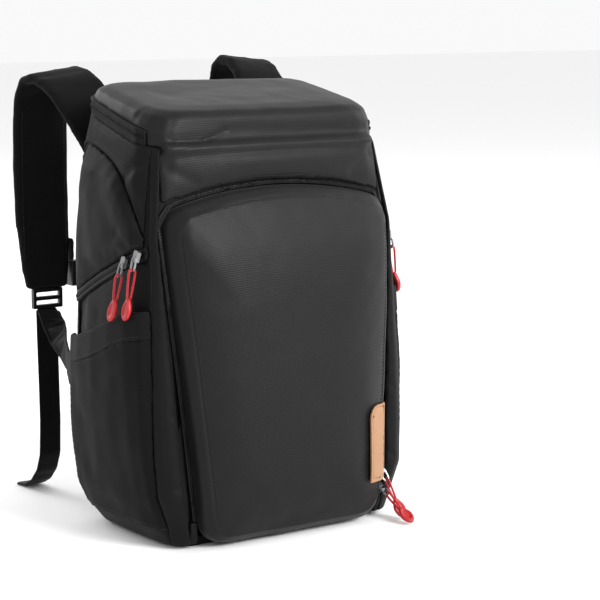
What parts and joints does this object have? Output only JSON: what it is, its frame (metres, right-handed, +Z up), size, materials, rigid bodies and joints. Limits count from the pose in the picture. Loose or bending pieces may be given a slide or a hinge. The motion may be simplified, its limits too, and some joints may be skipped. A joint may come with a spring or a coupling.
{
  "type": "camera backpack",
  "caption": "Upright camera backpack with a zipped lid, side doors, a bulging front pocket, stretch side pockets, padded shoulder straps and red cord zip pulls.",
  "frame": {"origin": "middle of the flat base, on the plane that the bag stands on", "axes": "+Z up; the front pocket faces -Y, the back panel and shoulder straps +Y; +X is the right side for someone who looks at the front"},
  "size_m": [0.333, 0.3782, 0.4561],
  "materials": {
    "nylon": "matt woven nylon, near black",
    "ripstop": "fine ribbed weave with a soft sheen, near black",
    "stretch": "dull stretch knit, near black",
    "mesh": "air mesh over foam, black",
    "webbing": "ribbed polyester webbing, black",
    "zipper": "coated zipper tape, black",
    "plastic": "moulded acetal, black",
    "leather": "smooth vegetable-tanned leather, tan",
    "steel": "nickel plated, satin",
    "red_cord": "braided cord, red",
    "red_rubber": "soft moulded rubber, red"
  },
  "bodies": {
    "root": {"main_shell": "nylon", "lid": "nylon", "lid_zipper": "zipper", "side_panel_left": "nylon", "side_panel_right": "nylon", "corner_yoke_left": "nylon", "corner_yoke_right": "nylon", "side_zipper_left": "zipper", "side_zipper_right": "zipper", "side_door_left": "nylon", "side_door_right": "nylon", "side_pocket_left": "stretch", "side_pocket_right": "stretch", "side_pocket_hem_left": "webbing", "side_pocket_hem_right": "webbing", "back_panel": "mesh", "back_zipper": "zipper", "front_band": "ripstop", "front_pocket": "ripstop", "pocket_zipper": "zipper", "front_rib_left": "nylon", "front_rib_right": "nylon", "channel_tab_left": "nylon", "channel_tab_right": "nylon", "leather_patch": "leather", "shoulder_strap_left": "mesh", "shoulder_strap_right": "mesh", "ladder_lock_left": "plastic", "ladder_lock_right": "plastic", "strap_tab_left": "webbing", "strap_tab_right": "webbing", "strap_webbing_left": "webbing", "strap_webbing_right": "webbing", "strap_tail_left": "webbing", "strap_tail_right": "webbing", "chest_web_left": "webbing", "chest_web_right": "webbing", "chest_buckle_left": "plastic", "chest_buckle_right": "plastic", "grab_handle": "webbing", "slider_front_left": "steel", "slider_front_right": "steel", "slider_rear_left": "steel", "slider_rear_right": "steel", "pull_cord_front_left": "red_cord", "pull_cord_front_right": "red_cord", "pull_cord_rear_left": "red_cord", "pull_cord_rear_right": "red_cord", "pull_tab_front_left": "red_rubber", "pull_tab_front_right": "red_rubber", "pull_tab_rear_left": "red_rubber", "pull_tab_rear_right": "red_rubber", "pocket_slider_upper": "steel", "pocket_slider_lower": "steel", "pocket_cord_upper": "red_cord", "pocket_cord_lower": "red_cord", "pocket_tab_upper": "red_rubber", "pocket_tab_lower": "red_rubber"}
  },
  "joints": []
}
